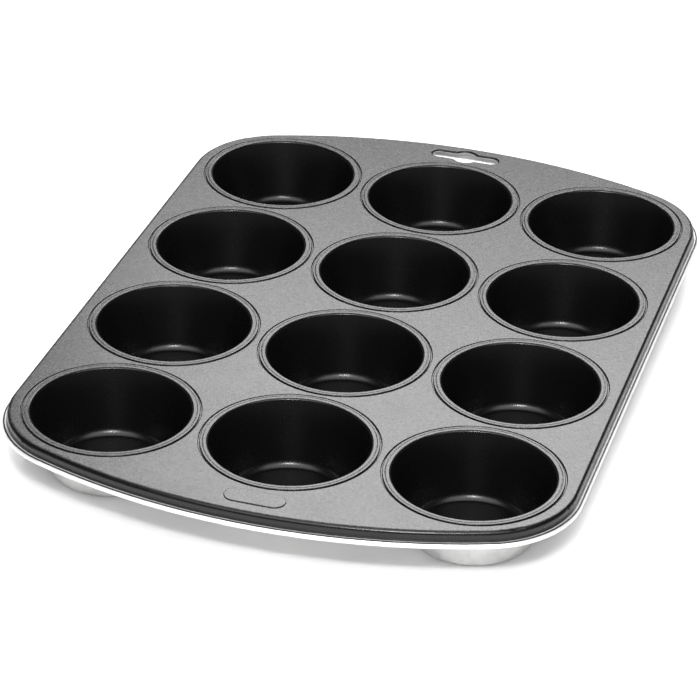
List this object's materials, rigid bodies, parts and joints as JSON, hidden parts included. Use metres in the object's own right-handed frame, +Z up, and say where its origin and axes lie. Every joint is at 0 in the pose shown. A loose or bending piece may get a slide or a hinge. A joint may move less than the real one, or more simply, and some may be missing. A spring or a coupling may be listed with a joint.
{
  "type": "muffin tin",
  "caption": "Rectangular baking tin with bowed short ends, a grid of tapered round cups crimped into a flat deck, a rolled wire rim and a hanging slot at one end.",
  "frame": {"origin": "centre of the footprint, on the plane the cups stand on", "axes": "+X across the short side, +Y along the long side towards the hanging slot, +Z up out of the cups"},
  "size_m": [0.2674, 0.3786, 0.0309],
  "materials": {
    "coated_sheet": "satin non-stick coating above, bare tinned underside",
    "coated_cup": "smooth non-stick coating inside, bare tinned outside",
    "wire": "drawn steel wire"
  },
  "bodies": {
    "root": {"top_plate": "coated_sheet", "rim_wire": "wire", "cup_01": "coated_cup", "cup_02": "coated_cup", "cup_03": "coated_cup", "cup_04": "coated_cup", "cup_05": "coated_cup", "cup_06": "coated_cup", "cup_07": "coated_cup", "cup_08": "coated_cup", "cup_09": "coated_cup", "cup_10": "coated_cup", "cup_11": "coated_cup", "cup_12": "coated_cup"}
  },
  "joints": []
}
